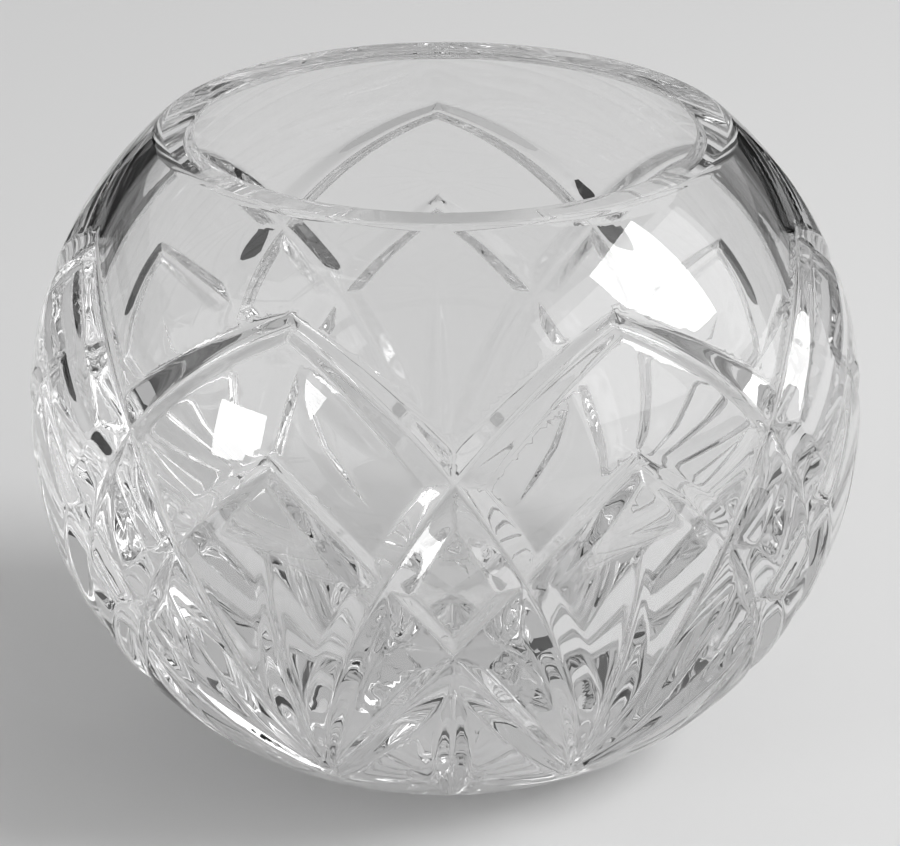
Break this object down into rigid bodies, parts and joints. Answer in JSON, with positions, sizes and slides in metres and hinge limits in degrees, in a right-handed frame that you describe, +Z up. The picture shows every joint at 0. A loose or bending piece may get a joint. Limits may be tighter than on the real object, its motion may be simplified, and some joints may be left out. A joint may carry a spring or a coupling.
{
  "type": "rose bowl vase",
  "caption": "Round cut-glass bowl for flowers with an open mouth, thick clear walls, crossing zigzag cuts, fans rising from the base and a star cut underneath.",
  "frame": {"origin": "Middle of the flat base, on the surface that the bowl stands on.", "axes": "+Z up through the mouth, the axis that the pattern repeats about. -Y is the front, where one valley of the zigzag faces."},
  "size_m": [0.125, 0.125, 0.096],
  "materials": {
    "cut_glass": "polished clear lead glass, smooth walls and polished wheel cuts"
  },
  "bodies": {
    "root": {"bowl": "cut_glass"}
  },
  "joints": []
}
